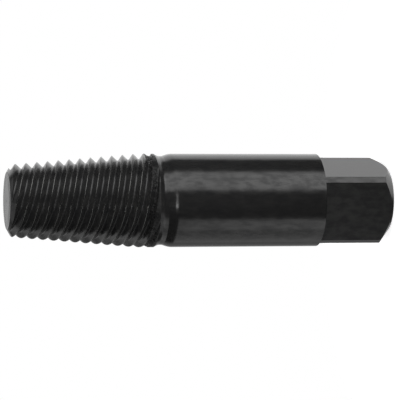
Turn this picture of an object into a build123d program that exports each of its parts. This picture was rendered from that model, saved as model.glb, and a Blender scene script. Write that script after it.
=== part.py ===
"""Spiral screw extractor, turned, fluted and milled from one bar of tool steel.

The tool stands on the flat end of its square drive. The origin is the centre of
that face, +Z runs up the tool's axis to the small tip, and the flats of the
square face along X and Y. All sizes are in millimetres.
"""

from build123d import *
from math import ceil, radians, tan
import os

# Square drive, for a tap wrench
square_across_flats = 20.0
square_length = 20.8
end_face_diameter = 18.5
end_chamfer_length = 3.2

# Plain shank
shank_diameter = 26.5
shank_length = 43.1

# Undercut neck between the shank and the working end
neck_diameter = 25.2
neck_floor_length = 1.6
neck_shank_taper_length = 2.0
neck_wall_length = 1.0

# Turned form of the working end, over the crests of its ridges
land_diameter = 26.5
land_length = 5.1
cone_length = 36.4
cone_tip_diameter = 20.3
tip_face_diameter = 16.1
tip_chamfer_length = 1.3

# Left-hand spiral flutes, which leave the sharp ridges between them
flute_count = 5
flute_lead = 15.2
flute_root_width = 0.67
ridge_land = 0.1
flank_to_tip_angle = 54.0
flank_to_shank_angle = 46.0
flute_phase_angle = 66.3
flute_fade_length = 4.2

# How finely a flute's path is followed, and how far its cutter stands clear of the steel
sections_per_turn = 12
cutter_clearance = 1.0

# Heights up the axis
shoulder_z = square_length
shank_top_z = shoulder_z + shank_length
neck_floor_bottom_z = shank_top_z + neck_shank_taper_length
neck_floor_top_z = neck_floor_bottom_z + neck_floor_length
land_bottom_z = neck_floor_top_z + neck_wall_length
land_top_z = land_bottom_z + land_length
tip_z = land_top_z + cone_length

# Form of one flute: a V with a narrow flat root, as deep as the pitch from ridge to ridge allows.
# Each run is how far a flank goes along the axis while it rises by one.
ridge_pitch = flute_lead / flute_count
tip_side_run = 1 / tan(radians(flank_to_shank_angle))
shank_side_run = 1 / tan(radians(flank_to_tip_angle))
flute_depth = (ridge_pitch - ridge_land - flute_root_width) / (tip_side_run + shank_side_run)
cutter_height = flute_depth + cutter_clearance


def crest_radius(z):
    """Radius of the turned working end at a height, before the flutes are cut."""
    tip_radius = cone_tip_diameter / 2
    land_radius = land_diameter / 2
    if z <= land_top_z:
        return land_radius
    return land_radius + (tip_radius - land_radius) * (z - land_top_z) / cone_length


def turned_blank():
    """The bar as it leaves the lathe: tip, cone, land, neck, shank and end chamfer."""
    profile = Polyline(
        (0, 0),
        (end_face_diameter / 2, 0),
        (shank_diameter / 2, end_chamfer_length),
        (shank_diameter / 2, shank_top_z),
        (neck_diameter / 2, neck_floor_bottom_z),
        (neck_diameter / 2, neck_floor_top_z),
        (land_diameter / 2, land_bottom_z),
        (land_diameter / 2, land_top_z),
        (crest_radius(tip_z - tip_chamfer_length), tip_z - tip_chamfer_length),
        (tip_face_diameter / 2, tip_z),
        (0, tip_z),
        close=True,
    )
    return revolve(Plane.XZ * make_face(profile), Axis.Z)


def flute_profile():
    """Section of the flute's cutter: its root's middle at the origin, X outwards, Y to the tip."""
    half_root = flute_root_width / 2
    profile = Polyline(
        (0, -half_root),
        (cutter_height, -half_root - cutter_height * shank_side_run),
        (cutter_height, half_root + cutter_height * tip_side_run),
        (0, half_root),
        close=True,
    )
    return make_face(profile)


def root_radius(z):
    """Radius of the flute's root, which follows the crests and then leaves the steel."""
    fade_top_z = land_bottom_z + flute_fade_length
    fade = max(0, fade_top_z - z) / flute_fade_length
    return crest_radius(z) - flute_depth + flute_depth * fade**2


def flute_cutters():
    """One left-hand flute, from above the tip to where it has left the land, turn by turn."""
    profile = flute_profile()
    reach = flute_root_width + cutter_height * max(tip_side_run, shank_side_run)
    start_z = tip_z + reach
    end_z = land_bottom_z - cutter_clearance
    turns = ceil((start_z - end_z) / flute_lead)
    steps = turns * sections_per_turn
    sections = []
    for step in range(steps + 1):
        z = start_z + (end_z - start_z) * step / steps
        angle = flute_phase_angle + 360 * (tip_z - z) / flute_lead
        outwards = Vector(1, 0, 0).rotate(Axis.Z, angle)
        across = Vector(0, -1, 0).rotate(Axis.Z, angle)
        place = Plane(outwards * root_radius(z) + Vector(0, 0, z), outwards, across)
        sections.append(place * profile)
    starts = range(0, steps, sections_per_turn)
    return [loft(sections[start : start + sections_per_turn + 1]) for start in starts]


def square_waste():
    """What is milled away round the square: a ring with a square hole, up to the shoulder."""
    ring = Cylinder(shank_diameter, square_length, align=(Align.CENTER, Align.CENTER, Align.MIN))
    square = Box(
        square_across_flats,
        square_across_flats,
        square_length,
        align=(Align.CENTER, Align.CENTER, Align.MIN),
    )
    return ring - square


def screw_extractor():
    """The finished tool: the blank with its square milled and its flutes cut."""
    flute = flute_cutters()
    flutes = []
    for number in range(flute_count):
        flutes += [Rot(0, 0, 360 * number / flute_count) * turn for turn in flute]
    return turned_blank() - square_waste() - flutes


tool = screw_extractor()
tool.label = "screw_extractor"
os.makedirs("parts", exist_ok=True)
export_step(tool, "parts/screw_extractor.step")
print("screw_extractor", tool.is_valid, round(tool.volume), "mm3")
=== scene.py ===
"""Looks of a spiral screw extractor: black-finished tool steel on a pale studio floor, tip up."""

import bmesh
import bpy
from math import cos, pi, radians, sin, tan
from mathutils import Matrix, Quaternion, Vector


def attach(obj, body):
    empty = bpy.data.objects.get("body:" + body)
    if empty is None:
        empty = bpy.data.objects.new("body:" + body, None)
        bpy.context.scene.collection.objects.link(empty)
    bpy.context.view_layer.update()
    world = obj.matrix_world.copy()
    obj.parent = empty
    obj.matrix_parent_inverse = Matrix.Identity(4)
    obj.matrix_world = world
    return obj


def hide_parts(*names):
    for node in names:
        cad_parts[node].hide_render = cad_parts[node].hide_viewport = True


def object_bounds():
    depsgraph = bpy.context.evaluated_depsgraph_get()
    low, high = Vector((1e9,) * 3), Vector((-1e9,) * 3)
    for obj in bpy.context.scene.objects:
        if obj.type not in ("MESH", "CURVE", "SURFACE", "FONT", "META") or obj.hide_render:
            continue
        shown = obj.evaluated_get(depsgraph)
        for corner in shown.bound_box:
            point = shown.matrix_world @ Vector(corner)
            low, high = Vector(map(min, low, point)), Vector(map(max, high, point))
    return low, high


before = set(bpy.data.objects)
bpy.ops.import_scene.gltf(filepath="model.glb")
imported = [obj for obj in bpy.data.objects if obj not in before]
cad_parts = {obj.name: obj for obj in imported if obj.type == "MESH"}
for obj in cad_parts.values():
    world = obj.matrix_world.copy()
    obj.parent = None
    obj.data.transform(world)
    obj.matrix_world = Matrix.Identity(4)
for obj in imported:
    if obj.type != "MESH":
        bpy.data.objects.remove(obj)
cad_low, cad_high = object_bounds()

# The turned blank is one bar of tool steel, 110 mm long, as it leaves the lathe: end chamfer, plain
# shank, undercut neck, short land, and the cone that will carry the ridges, with a chamfered tip.
# Every ring below is drawn out of the one before it, as the turning tool would leave them.
end_face_radius = 0.00925
end_chamfer_top = 0.0032
shank_radius = 0.01325
shank_top = 0.0639
neck_radius = 0.0126
neck_floor_bottom = 0.0659
neck_floor_top = 0.0672
land_radius = 0.01325
land_bottom = 0.0685
land_top = 0.0736
cone_tip_radius = 0.01015
tip_chamfer_length = 0.0013
tip_face_radius = 0.00805
tip_height = cad_high.z
tip_chamfer_bottom = tip_height - tip_chamfer_length
round_facets = 180
shank_end_rounding = 0.0007
neck_rounding = 0.0004
rounding_steps = 4
ring_tolerance = 0.000001


def crest_radius(height):
    """Radius over the ridges at a height: straight on the land and tapering above it."""
    share = max(0, height - land_top) / (tip_height - land_top)
    return land_radius + (cone_tip_radius - land_radius) * share


def select_where(kind, test):
    """Selects in edit mode the verts, edges or faces whose list of corners passes the test."""
    bpy.ops.mesh.select_mode(type={"verts": "VERT", "edges": "EDGE", "faces": "FACE"}[kind])
    bpy.ops.mesh.select_all(action="DESELECT")
    edited = bmesh.from_edit_mesh(bpy.context.object.data)
    for element in getattr(edited, kind):
        corners = [element] if kind == "verts" else element.verts
        if test([corner.co for corner in corners]):
            element.select_set(True)
    edited.select_flush_mode()
    bmesh.update_edit_mesh(bpy.context.object.data)


def lies_between(low, high):
    """A test for select_where: all the corners lie between these heights."""
    return lambda corners: all(low < corner.z < high for corner in corners)


rings = [
    (end_face_radius, 0),
    (shank_radius, end_chamfer_top),
    (shank_radius, shank_top),
    (neck_radius, neck_floor_bottom),
    (neck_radius, neck_floor_top),
    (land_radius, land_bottom),
    (land_radius, land_top),
    (crest_radius(tip_chamfer_bottom), tip_chamfer_bottom),
    (tip_face_radius, tip_height),
]

bpy.ops.object.select_all(action="DESELECT")
bpy.ops.mesh.primitive_circle_add(vertices=round_facets, radius=end_face_radius, fill_type="NGON")
extractor = bpy.context.object
extractor.name = "spiral_extractor"
bpy.ops.object.mode_set(mode="EDIT")
bpy.ops.mesh.select_all(action="SELECT")
for (last_radius, last_height), (radius, height) in zip(rings, rings[1:]):
    rise = (0, 0, height - last_height)
    bpy.ops.mesh.extrude_region_move(TRANSFORM_OT_translate={"value": rise})
    spread = radius / last_radius
    bpy.ops.transform.resize(value=(spread, spread, 1))
for height, rounding in ((shank_top, shank_end_rounding), (neck_floor_top, neck_rounding)):
    select_where("edges", lies_between(height - ring_tolerance, height + ring_tolerance))
    bpy.ops.mesh.bevel(offset=rounding, segments=rounding_steps, affect="EDGES")
bpy.ops.mesh.select_all(action="SELECT")
bpy.ops.mesh.normals_make_consistent(inside=False)
bpy.ops.object.mode_set(mode="OBJECT")

# The drive is a 20 mm square for a tap wrench, milled on the end of the shank up to a shoulder.
# What the mill takes away is a block with a square hole; the corners keep the shank's roundness.
# Then every sharp edge is broken a little, as on a tool that has been deburred.
square_half = 0.010
square_top = 0.0208
waste_half = 0.016
waste_overrun = 0.001
edge_rounding = 0.00014
edge_rounding_steps = 5
sharp_edge_angle = radians(30)


def apply_modifier(piece, kind, **settings):
    """Adds a modifier with its settings to a piece and applies it at once."""
    bpy.ops.object.select_all(action="DESELECT")
    bpy.context.view_layer.objects.active = piece
    piece.select_set(True)
    modifier = piece.modifiers.new(kind.title(), kind)
    for name, value in settings.items():
        setattr(modifier, name, value)
    bpy.ops.object.modifier_apply(modifier=modifier.name)


bpy.ops.object.select_all(action="DESELECT")
bpy.ops.mesh.primitive_plane_add(size=2 * waste_half, location=(0, 0, -waste_overrun))
waste = bpy.context.object
bpy.ops.object.transform_apply(location=True, rotation=True, scale=True)
bpy.ops.object.mode_set(mode="EDIT")
bpy.ops.mesh.select_all(action="SELECT")
bpy.ops.mesh.inset(thickness=waste_half - square_half, use_even_offset=True)
bpy.ops.mesh.delete(type="FACE")
bpy.ops.mesh.select_all(action="SELECT")
rise = (0, 0, square_top + waste_overrun)
bpy.ops.mesh.extrude_region_move(TRANSFORM_OT_translate={"value": rise})
bpy.ops.mesh.select_all(action="SELECT")
bpy.ops.mesh.normals_make_consistent(inside=False)
bpy.ops.object.mode_set(mode="OBJECT")
apply_modifier(extractor, "BOOLEAN", object=waste, operation="DIFFERENCE", solver="EXACT")
bpy.data.objects.remove(waste)
apply_modifier(
    extractor,
    "BEVEL",
    width=edge_rounding,
    segments=edge_rounding_steps,
    limit_method="ANGLE",
    angle_limit=sharp_edge_angle,
)

# The working end has five left-hand spiral flutes, cut so close that only sharp ridges are left
# between them. They bite into the wall of a drilled hole when the tool is turned anticlockwise.
# The outline of the ridges is drawn as a wire, wound up like a screw, and trims the turned blank.
ridge_count = 5
flute_lead = 0.0152
flute_phase_degrees = 66.3
tip_flank_angle = radians(46)
shank_flank_angle = radians(54)
ridge_land = 0.0001
root_width = 0.00067
crest_rounding = 0.00016
crest_steps = 6
# How far the rounded root lies above the bottom of a sharp V, as a share of where a flat root lies
root_lift = 0.6
root_steps = 7
flank_cuts = 5
turns = 4
turn_steps = 144
fade_length = 0.0042
trim_overrun = 0.0005
skirt_spread = 1.2
seam_gap = 0.000001
cut_tolerance = 0.0000001
sliver_size = 0.000002
smooth_below = radians(17.5)

# The wire is first drawn sharp, with flanks that run on until they meet in crests and roots
ridge_pitch = flute_lead / ridge_count
run_to_tip = 1 / tan(tip_flank_angle)
run_to_shank = 1 / tan(shank_flank_angle)
flank_runs = run_to_tip + run_to_shank
flute_depth = (ridge_pitch - ridge_land - root_width) / flank_runs
sharp_crest = land_radius + ridge_land / flank_runs
sharp_depth = ridge_pitch / flank_runs
sharp_half_angle = (pi - tip_flank_angle - shank_flank_angle) / 2
root_rounding = root_lift * root_width / flank_runs / (1 / sin(sharp_half_angle) - 1)
root_below_tip = (360 / ridge_count - flute_phase_degrees) / 360 * flute_lead
crest_below_tip = root_below_tip - root_width / 2 - flute_depth * run_to_tip - ridge_land / 2
wire_radius = sharp_crest - sharp_depth / 2
wire_top = tip_height - crest_below_tip + flute_lead + sharp_depth / 2 * run_to_shank
flank_down = (-sharp_depth, 0, -sharp_depth * run_to_tip)
flank_up = (sharp_depth, 0, -sharp_depth * run_to_shank)
half_flank_up = (sharp_depth / 2, 0, -sharp_depth / 2 * run_to_shank)

# A plane merged into one point is the wire's start, on the middle of a flank above the tip
bpy.ops.object.select_all(action="DESELECT")
bpy.ops.mesh.primitive_plane_add(size=ridge_pitch, location=(wire_radius, 0, wire_top))
envelope = bpy.context.object
bpy.ops.object.transform_apply(location=True, rotation=True, scale=True)
bpy.ops.object.mode_set(mode="EDIT")
bpy.ops.mesh.select_mode(type="VERT")
bpy.ops.mesh.select_all(action="SELECT")
bpy.ops.mesh.merge(type="CENTER")
bpy.ops.mesh.extrude_vertices_move(TRANSFORM_OT_translate={"value": half_flank_up})
for ridge in range(ridge_count):
    bpy.ops.mesh.extrude_vertices_move(TRANSFORM_OT_translate={"value": flank_down})
    rise = half_flank_up if ridge == ridge_count - 1 else flank_up
    bpy.ops.mesh.extrude_vertices_move(TRANSFORM_OT_translate={"value": rise})
select_where("verts", lambda corners: corners[0].x > wire_radius + sharp_depth / 4)
crest_offset = crest_rounding / tan(sharp_half_angle)
bpy.ops.mesh.bevel(offset=crest_offset, segments=crest_steps, affect="VERTICES")
select_where("verts", lambda corners: corners[0].x < wire_radius - sharp_depth / 4)
root_offset = root_rounding / tan(sharp_half_angle)
bpy.ops.mesh.bevel(offset=root_offset, segments=root_steps, affect="VERTICES")
select_where("edges", lambda corners: (corners[0] - corners[1]).length > root_rounding)
bpy.ops.mesh.subdivide(number_cuts=flank_cuts)
bpy.ops.object.mode_set(mode="OBJECT")
apply_modifier(
    envelope,
    "SCREW",
    screw_offset=-flute_lead,
    iterations=turns,
    steps=turn_steps,
    render_steps=turn_steps,
)

# The wound wire is drawn in to the taper, and beside the neck the flutes fade out of the steel
for corner in envelope.data.vertices:
    height = corner.co.z
    radius = corner.co.xy.length
    fade = max(0, land_bottom + fade_length - height) / fade_length
    shaped = radius + crest_radius(height) - land_radius + flute_depth * fade**2
    corner.co.x *= shaped / radius
    corner.co.y *= shaped / radius

# It is closed at the tip, and a wide skirt below keeps the shank and the square out of the trimming
trim_top = (0, 0, tip_height + trim_overrun)
trim_bottom = (0, 0, land_bottom - trim_overrun)
level_cut = {"plane_no": (0, 0, 1), "threshold": cut_tolerance}
bpy.ops.object.mode_set(mode="EDIT")
bpy.ops.mesh.select_all(action="SELECT")
bpy.ops.mesh.remove_doubles(threshold=seam_gap)
bpy.ops.mesh.select_all(action="SELECT")
bpy.ops.mesh.bisect(plane_co=trim_top, clear_outer=True, **level_cut)
bpy.ops.mesh.edge_face_add()
bpy.ops.mesh.select_all(action="SELECT")
bpy.ops.mesh.bisect(plane_co=trim_bottom, clear_inner=True, **level_cut)
bpy.ops.mesh.extrude_region_move(TRANSFORM_OT_translate={"value": (0, 0, 0)})
bpy.ops.transform.resize(value=(skirt_spread, skirt_spread, 1), center_override=trim_bottom)
drop = (0, 0, -trim_bottom[2] - waste_overrun)
bpy.ops.mesh.extrude_region_move(TRANSFORM_OT_translate={"value": drop})
bpy.ops.mesh.edge_face_add()
bpy.ops.mesh.select_all(action="SELECT")
bpy.ops.mesh.normals_make_consistent(inside=False)
bpy.ops.object.mode_set(mode="OBJECT")
apply_modifier(extractor, "BOOLEAN", object=envelope, operation="INTERSECT", solver="EXACT")
bpy.data.objects.remove(envelope)
bpy.ops.object.mode_set(mode="EDIT")
bpy.ops.mesh.select_all(action="SELECT")
bpy.ops.mesh.remove_doubles(threshold=sliver_size)
bpy.ops.mesh.dissolve_degenerate(threshold=sliver_size)
bpy.ops.mesh.fill_holes(sides=0)
bpy.ops.object.mode_set(mode="OBJECT")
bpy.ops.object.shade_smooth_by_angle(angle=smooth_below)

# Beside the neck the flute cutter chattered as it lifted out of the steel, and left a torn band all
# round the run-out of the flutes. The faces there are split up small and pitted by a noise, mostly
# inwards, which fades out towards both edges of the band.
torn_setback = 0.0002
torn_reach = 0.003
torn_fade = 0.0006
torn_cuts = 2
torn_grain = 0.0005
torn_grain_levels = 2
torn_contrast = 1.6
torn_depth = 0.00036
torn_share_inwards = 0.8

torn_bottom = land_bottom + torn_setback
torn_top = land_bottom + torn_reach
bpy.ops.object.mode_set(mode="EDIT")
select_where("faces", lies_between(torn_bottom, torn_top))
bpy.ops.mesh.quads_convert_to_tris()
bpy.ops.mesh.subdivide(number_cuts=torn_cuts)
bpy.ops.object.mode_set(mode="OBJECT")
torn_band = extractor.vertex_groups.new(name="torn_band")
for corner in extractor.data.vertices:
    depth_in_band = min(corner.co.z - torn_bottom, torn_top - corner.co.z)
    if depth_in_band > 0:
        torn_band.add([corner.index], min(1, depth_in_band / torn_fade), "REPLACE")
tears = bpy.data.textures.new("torn_steel", "CLOUDS")
tears.noise_scale = torn_grain
tears.noise_depth = torn_grain_levels
tears.contrast = torn_contrast
apply_modifier(
    extractor,
    "DISPLACE",
    texture=tears,
    texture_coords="LOCAL",
    strength=torn_depth,
    mid_level=torn_share_inwards,
    vertex_group="torn_band",
)
apply_modifier(extractor, "WEIGHTED_NORMAL", keep_sharp=True)

# The whole tool is blackened by a hot black oxide bath, a skin so thin that the marks of turning,
# fluting and milling still show in its shine. It is nearly black, has a satin gloss, and is a little
# cloudy. Each kind of surface has a finish of its own, and sizes and depths are in metres.
oxide_cloud_size = 0.002
oxide_cloud_stretch = (1, 1, 0.6)
cloudy_range = (0.42, 0.58)
shine_dull = (0.62, 0.62, 0.62, 1)
shine_bright = (1, 1, 1, 1)
grain_roughness = 0.6


def new_node(tree, kind, **values):
    """Adds a shader node; values that name one of its inputs set that input, others its settings."""
    node = tree.nodes.new(kind)
    for name, value in values.items():
        title = name.replace("_", " ").title()
        if title in node.inputs:
            node.inputs[title].default_value = value
        else:
            setattr(node, name, value)
    return node


def start_finish(name):
    """A new material, with its nodes and its shader."""
    material = bpy.data.materials.new(name)
    material.use_nodes = True
    return material, material.node_tree, material.node_tree.nodes["Principled BSDF"]


def object_places(tree):
    """Places on the piece itself, which its patterns read."""
    return new_node(tree, "ShaderNodeTexCoord").outputs["Object"]


def worked_out(tree, operation, *values):
    """The result of one sum, whose values are outputs or plain numbers."""
    sum_node = new_node(tree, "ShaderNodeMath", operation=operation)
    for socket, value in zip(sum_node.inputs, values):
        if isinstance(value, (int, float)):
            socket.default_value = value
        else:
            tree.links.new(value, socket)
    return sum_node.outputs["Value"]


def rescaled(tree, value, before, after, **settings):
    """A value moved from the range before to the range after, and held at its ends."""
    scale = new_node(tree, "ShaderNodeMapRange", **settings)
    for title, limit in zip(("From Min", "From Max", "To Min", "To Max"), before + after):
        scale.inputs[title].default_value = limit
    tree.links.new(value, scale.inputs["Value"])
    return scale.outputs["Result"]


def speckle(tree, where, size, detail=3.0):
    """Cloudy noise of a given grain size, read at a place, from 0 to 1."""
    noise = new_node(tree, "ShaderNodeTexNoise", detail=detail, roughness=grain_roughness)
    noise.inputs["Scale"].default_value = 1 / size
    tree.links.new(where, noise.inputs["Vector"])
    return noise.outputs["Fac"]


def stretched(tree, place, shares):
    """Places with each axis squeezed by its share, so that a pattern read there runs long."""
    squeeze = new_node(tree, "ShaderNodeVectorMath", operation="MULTIPLY")
    squeeze.inputs[1].default_value = shares
    tree.links.new(place, squeeze.inputs[0])
    return squeeze.outputs["Vector"]


def split(tree, place):
    """The X, Y and Z of a place, each an output."""
    parts = new_node(tree, "ShaderNodeSeparateXYZ")
    tree.links.new(place, parts.inputs["Vector"])
    return parts.outputs


def ring_places(tree, place, wander):
    """Places by radius and height, where noise makes rings round the axis that wander a little."""
    radius = new_node(tree, "ShaderNodeVectorMath", operation="LENGTH")
    tree.links.new(stretched(tree, place, (1, 1, 0)), radius.inputs[0])
    parts = split(tree, stretched(tree, place, (wander, wander, 1)))
    ring = new_node(tree, "ShaderNodeCombineXYZ")
    tree.links.new(worked_out(tree, "ADD", radius.outputs["Value"], parts["X"]), ring.inputs["X"])
    tree.links.new(parts["Y"], ring.inputs["Y"])
    tree.links.new(parts["Z"], ring.inputs["Z"])
    return ring.outputs["Vector"]


def mixed_colour(tree, share, colours):
    """A colour between two; the Mix node has its two colours in inputs 6 and 7."""
    mix = new_node(tree, "ShaderNodeMix", data_type="RGBA")
    tree.links.new(share, mix.inputs["Factor"])
    mix.inputs[6].default_value = colours[0]
    mix.inputs[7].default_value = colours[1]
    return mix.outputs[2]


def blacken(tree, shader, place, blacks, satin, marks):
    """Near-black colour and satin gloss, cloudy from the bath and streaky from the marks under it."""
    cloud_places = stretched(tree, place, oxide_cloud_stretch)
    clouds = speckle(tree, cloud_places, oxide_cloud_size, detail=4.0)
    half_marks = worked_out(tree, "MULTIPLY", marks, 0.5)
    clouds_and_marks = worked_out(tree, "MULTIPLY_ADD", clouds, 0.5, half_marks)
    share = rescaled(tree, clouds_and_marks, cloudy_range, (0, 1))
    tree.links.new(mixed_colour(tree, share, blacks), shader.inputs["Base Color"])
    shine = mixed_colour(tree, share, (shine_dull, shine_bright))
    tree.links.new(shine, shader.inputs["Specular Tint"])
    tree.links.new(rescaled(tree, share, (0, 1), satin), shader.inputs["Roughness"])


def emboss(tree, shader, pattern, depth):
    """Bump of a given depth from a pattern."""
    bump = new_node(tree, "ShaderNodeBump", strength=1.0, distance=depth)
    tree.links.new(pattern, bump.inputs["Height"])
    tree.links.new(bump.outputs["Normal"], shader.inputs["Normal"])


# Turned surfaces: fine rings from the lathe, and on the tip's face the broad waves of its facing.
# That face is seen almost edge-on, so its waves only show in a bump that is far deeper.
turned_black = ((0.0153, 0.0153, 0.0157, 1), (0.0178, 0.0176, 0.0174, 1))
turned_satin = (0.17, 0.21)
turned_wander = 0.03
turned_ring_size = 0.0006
turned_ring_depth = 0.0000012
turned_streak_size = 0.001
turned_streak_stretch = (1, 1, 0.3)
facing_wave_size = 0.003
facing_times_deeper = 1100
# The waves come in over the lower half of this zone, just below the tip's face
facing_zone = 0.0001

turned_oxide, tree, shader = start_finish("turned_black_oxide")
place = object_places(tree)
turned_places = ring_places(tree, place, turned_wander)
fine_rings = speckle(tree, turned_places, turned_ring_size, detail=1.0)
facing_waves = speckle(tree, turned_places, facing_wave_size, detail=0.0)
facing_heights = (tip_height - facing_zone, tip_height - facing_zone / 2)
on_tip = rescaled(tree, split(tree, place)["Z"], facing_heights, (0, facing_times_deeper))
tip_waves = worked_out(tree, "MULTIPLY", facing_waves, on_tip)
streaks = speckle(tree, stretched(tree, place, turned_streak_stretch), turned_streak_size)
blacken(tree, shader, place, turned_black, turned_satin, streaks)
emboss(tree, shader, worked_out(tree, "ADD", fine_rings, tip_waves), turned_ring_depth)

# Ridges: fine marks of the flute cutter, round the tool
ridge_black = ((0.019, 0.019, 0.0195, 1), (0.026, 0.0257, 0.0253, 1))
ridge_satin = (0.17, 0.3)
cutter_wander = 0.2
cutter_mark_size = 0.0008
cutter_mark_depth = 0.000008

ridge_oxide, tree, shader = start_finish("milled_ridge_black_oxide")
place = object_places(tree)
cutter_marks = speckle(tree, ring_places(tree, place, cutter_wander), cutter_mark_size)
blacken(tree, shader, place, ridge_black, ridge_satin, cutter_marks)
emboss(tree, shader, cutter_marks, cutter_mark_depth)

# Crests: bare steel, where the black has worn off the sharp edges
crest_grey = (0.12, 0.12, 0.117, 1)
crest_roughness = 0.25

crest_steel, tree, shader = start_finish("worn_crest_steel")
shader.inputs["Base Color"].default_value = crest_grey
shader.inputs["Metallic"].default_value = 1
shader.inputs["Roughness"].default_value = crest_roughness

# The torn band: the same black as on the turned surfaces, but on broken steel, which shines less
torn_satin = (0.2, 0.4)
torn_shine = 0.22

torn_oxide, tree, shader = start_finish("torn_black_oxide")
place = object_places(tree)
blacken(tree, shader, place, turned_black, torn_satin, speckle(tree, place, torn_grain))
shader.inputs["Specular IOR Level"].default_value = torn_shine

# Milled square and shoulder: short streaks along the tool, from the mill's feed
flat_black = ((0.0195, 0.0195, 0.02, 1), (0.0225, 0.0223, 0.022, 1))
flat_satin = (0.3, 0.34)
feed_mark_size = 0.0016
feed_mark_stretch = (1, 1, 0.45)
feed_mark_depth = 0.000003

flat_oxide, tree, shader = start_finish("milled_flat_black_oxide")
place = object_places(tree)
feed_marks = speckle(tree, stretched(tree, place, feed_mark_stretch), feed_mark_size, detail=2.0)
blacken(tree, shader, place, flat_black, flat_satin, feed_marks)
emboss(tree, shader, feed_marks, feed_mark_depth)

# Each face of the mesh gets the finish of the tool that cut it. A face on a milled flat looks straight
# along an axis, and one on the turned end of the tip looks up steeply. The rest is told by height and,
# on the ridges, by how near the face is to the crest.
crest_wear = 0.0001
flat_facing = 0.999
tip_facing = 0.6
finishes = (turned_oxide, ridge_oxide, flat_oxide, crest_steel, torn_oxide)
turned_slot, ridge_slot, flat_slot, crest_slot, torn_slot = range(len(finishes))

extractor.data.materials.clear()
for finish in finishes:
    extractor.data.materials.append(finish)
for face in extractor.data.polygons:
    middle, normal = face.center, face.normal
    on_square = middle.z < square_top and max(abs(normal.x), abs(normal.y)) > flat_facing
    on_shoulder = middle.z < shank_top and normal.z > flat_facing
    on_tip_end = middle.z > tip_chamfer_bottom and normal.z > tip_facing
    below_crest = crest_radius(middle.z) - middle.xy.length
    if torn_bottom < middle.z < torn_top:
        face.material_index = torn_slot
    elif middle.z > torn_top and not on_tip_end:
        worn = middle.z < tip_chamfer_bottom and below_crest < crest_wear
        face.material_index = crest_slot if worn else ridge_slot
    elif on_square or on_shoulder:
        face.material_index = flat_slot
    else:
        face.material_index = turned_slot

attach(extractor, "root")
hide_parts("screw_extractor")

# The studio is a room that the camera sees as plain white. In the black shine of the steel it is
# dark, but for the soft light panels that hang in it round the tool.
room_white = 1.0
room_dark = 0.04
white = (1, 1, 1, 1)
# Each panel: middle of its bearing, half its width, softness of its upright edges, lowest and
# highest elevation, all in degrees, and brightness
panels = [
    (-21, 24.5, 5, -40, -13, 2.95),
    (-21, 24.5, 5, -13, 34, 2.55),
    (-70, 17, 4, 2, 14, 2.2),
    (-84, 5, 2, 2, 14, 7),
    (-82, 3, 2, 40, 68, 6),
    (-82, 3, 2, -80, -68, 6),
    (25, 30, 8, 42, 72, 0.16),
    (72, 20, 5, -38, 35, 1.3),
    (70, 36, 6, -75, -38, 0.85),
    (93, 11, 4, -38, 35, 1.15),
    (112, 18, 5, -40, 5, 0.6),
    (110, 14, 5, 5, 40, 0.7),
    (110, 45, 8, 45, 85, 0.5),
    (-150, 30, 8, -75, -28, 0.65),
    (-160, 42, 8, -28, -5, 0.68),
    (-215, 18, 6, -28, 3, 0.31),
    (138, 13, 6, 8, 40, 0.22),
    (158, 13, 5, 20, 58, 1.2),
]
panel_end_softness = radians(3)


def soft_step(tree, value, start, stop):
    """0 before start and 1 after stop, with a smooth rise between them; start may be the larger."""
    return rescaled(tree, value, (start, stop), (0, 1), interpolation_type="SMOOTHSTEP")


world = bpy.data.worlds.new("studio")
bpy.context.scene.world = world
world.use_nodes = True
tree = world.node_tree
background = tree.nodes["Background"]
background.inputs["Color"].default_value = white
direction = new_node(tree, "ShaderNodeTexCoord").outputs["Generated"]
elevation = worked_out(tree, "ARCSINE", split(tree, direction)["Z"])
bearing = new_node(tree, "ShaderNodeVectorMath", operation="NORMALIZE")
tree.links.new(stretched(tree, direction, (1, 1, 0)), bearing.inputs[0])
light = room_dark
for middle, half_width, softness, lowest, highest, brightness in panels:
    towards = new_node(tree, "ShaderNodeVectorMath", operation="DOT_PRODUCT")
    towards.inputs[1].default_value = (cos(radians(middle)), sin(radians(middle)), 0)
    tree.links.new(bearing.outputs["Vector"], towards.inputs[0])
    away = worked_out(tree, "ARCCOSINE", towards.outputs["Value"])
    edge, soft = radians(half_width), radians(softness)
    low, high = radians(lowest), radians(highest)
    inside = soft_step(tree, away, edge + soft, edge - soft)
    above = soft_step(tree, elevation, low - panel_end_softness, low + panel_end_softness)
    below = soft_step(tree, elevation, high + panel_end_softness, high - panel_end_softness)
    panel = worked_out(tree, "MULTIPLY", worked_out(tree, "MULTIPLY", inside, above), below)
    panel = worked_out(tree, "MULTIPLY", panel, brightness)
    light = worked_out(tree, "MAXIMUM", light, panel)
rays = new_node(tree, "ShaderNodeLightPath")
lit_or_seen = new_node(tree, "ShaderNodeMix", data_type="FLOAT")
tree.links.new(rays.outputs["Is Camera Ray"], lit_or_seen.inputs["Factor"])
tree.links.new(light, lit_or_seen.inputs["A"])
lit_or_seen.inputs["B"].default_value = room_white
tree.links.new(lit_or_seen.outputs["Result"], background.inputs["Strength"])

# A low light stands beside the shank, on the side that is below in the picture. An area light's
# power is four times its brightness times its area.
low_light_bearing = radians(-131)
low_light_distance = 0.12
low_light_width = 0.06
low_light_bottom = -0.05
low_light_top = 0.040
low_light_brightness = 0.44
power_to_brightness = 4

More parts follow.
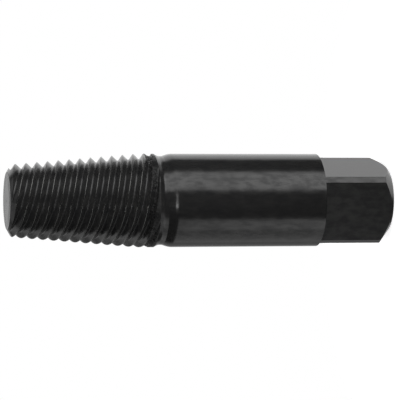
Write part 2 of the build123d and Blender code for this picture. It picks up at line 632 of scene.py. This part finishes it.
light_data = bpy.data.lights.new("low_light", "AREA")
light_data.shape = "RECTANGLE"
light_data.size = low_light_width
light_data.size_y = low_light_top - low_light_bottom
light_data.energy = power_to_brightness * low_light_brightness * light_data.size * light_data.size_y
low_light = bpy.data.objects.new("low_light", light_data)
bpy.context.scene.collection.objects.link(low_light)
towards_light = Vector((cos(low_light_bearing), sin(low_light_bearing), 0))
low_light_middle = Vector((0, 0, (low_light_top + low_light_bottom) / 2))
low_light.location = towards_light * low_light_distance + low_light_middle
low_light.rotation_euler = towards_light.to_track_quat("Z", "Y").to_euler()
low_light.visible_camera = False

# The floor is a disc painted pale. It glows for the camera alone, so that it nearly melts into the
# white room with only a faint shadow on it, and it isn't mirrored in the black steel.
floor_radius = 0.07
floor_facets = 128
floor_colour = (0.8, 0.8, 0.8, 1)
floor_roughness = 0.9
floor_glow = 0.86

bpy.ops.object.select_all(action="DESELECT")
bpy.ops.mesh.primitive_circle_add(vertices=floor_facets, radius=floor_radius, fill_type="NGON")
floor = bpy.context.object
floor.name = "pale_floor"
floor_paint, tree, shader = start_finish("pale_floor_paint")
shader.inputs["Base Color"].default_value = floor_colour
shader.inputs["Roughness"].default_value = floor_roughness
shader.inputs["Specular IOR Level"].default_value = 0
shader.inputs["Emission Color"].default_value = white
rays = new_node(tree, "ShaderNodeLightPath")
glow = worked_out(tree, "MULTIPLY", rays.outputs["Is Camera Ray"], floor_glow)
tree.links.new(glow, shader.inputs["Emission Strength"])
floor.data.materials.append(floor_paint)
floor.visible_glossy = False

# The camera looks a little down on the tool from the tip's side. It is turned on its side, because
# the tool is pictured lying down, tip to the left, and stands here on the end of its square.
camera_bearing = radians(19.5)
camera_elevation = radians(12)
camera_roll = radians(-90.15)
camera_distance = 0.65
camera_aim = Vector((0.0001, 0, 0.05473))
lens_length_mm = 205.5
sensor_width_mm = 36

camera_data = bpy.data.cameras.new("camera")
camera_data.lens = lens_length_mm
camera_data.sensor_width = sensor_width_mm
camera = bpy.data.objects.new("camera", camera_data)
bpy.context.scene.collection.objects.link(camera)
level_reach = cos(camera_elevation)
back_x = sin(camera_bearing) * level_reach
back_y = -cos(camera_bearing) * level_reach
back = Vector((back_x, back_y, sin(camera_elevation)))
camera.location = camera_aim + back * camera_distance
camera.rotation_mode = "QUATERNION"
upright = (-back).to_track_quat("-Z", "Y")
camera.rotation_quaternion = upright @ Quaternion((0, 0, 1), camera_roll)
bpy.context.scene.camera = camera
bpy.context.scene.view_settings.view_transform = "Standard"
